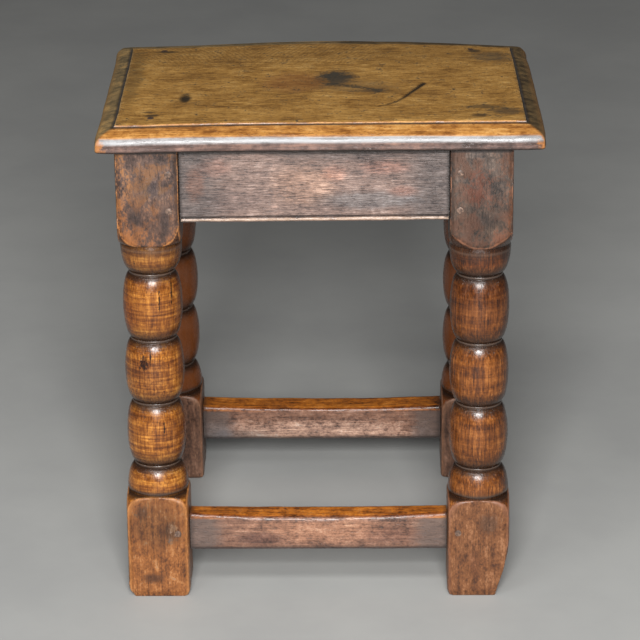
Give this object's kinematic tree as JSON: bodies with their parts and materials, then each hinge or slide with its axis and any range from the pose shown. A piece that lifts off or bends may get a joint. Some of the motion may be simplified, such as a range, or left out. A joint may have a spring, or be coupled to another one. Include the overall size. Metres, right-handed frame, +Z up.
{
  "type": "joint stool",
  "caption": "Oak joint stool with splayed bobbin-turned legs, beaded aprons, low box stretchers and a moulded plank seat, pegged mortise and tenon joints",
  "frame": {"origin": "on the floor, under the middle of the seat top", "axes": "+Z up, +X to the right along the seat's length, -Y to the front"},
  "size_m": [0.445, 0.344, 0.504],
  "materials": {
    "seat_oak": "old waxed oak, honey brown, satin, darker in the moulding",
    "left_leg_oak": "glossy amber oak with dark necks, dull brown blocks",
    "right_leg_oak": "glossy red-brown oak with dark necks, dull brown blocks",
    "back_leg_oak": "waxed dark oak",
    "apron_oak": "dry dark brown oak, rubbed paler in places",
    "stretcher_oak": "rubbed brown oak with a bright worn top edge",
    "peg_oak": "dark riven oak"
  },
  "bodies": {
    "root": {"seat_top": "seat_oak", "seat_pegs": "peg_oak", "front_left_leg": "left_leg_oak", "front_right_leg": "right_leg_oak", "back_left_leg": "back_leg_oak", "back_right_leg": "back_leg_oak", "front_apron": "apron_oak", "front_apron_pegs": "peg_oak", "front_stretcher": "stretcher_oak", "front_stretcher_pegs": "peg_oak", "back_apron": "apron_oak", "back_apron_pegs": "peg_oak", "back_stretcher": "stretcher_oak", "back_stretcher_pegs": "peg_oak", "left_apron": "apron_oak", "left_apron_pegs": "peg_oak", "left_stretcher": "stretcher_oak", "left_stretcher_pegs": "peg_oak", "right_apron": "apron_oak", "right_apron_pegs": "peg_oak", "right_stretcher": "stretcher_oak", "right_stretcher_pegs": "peg_oak"}
  },
  "joints": []
}
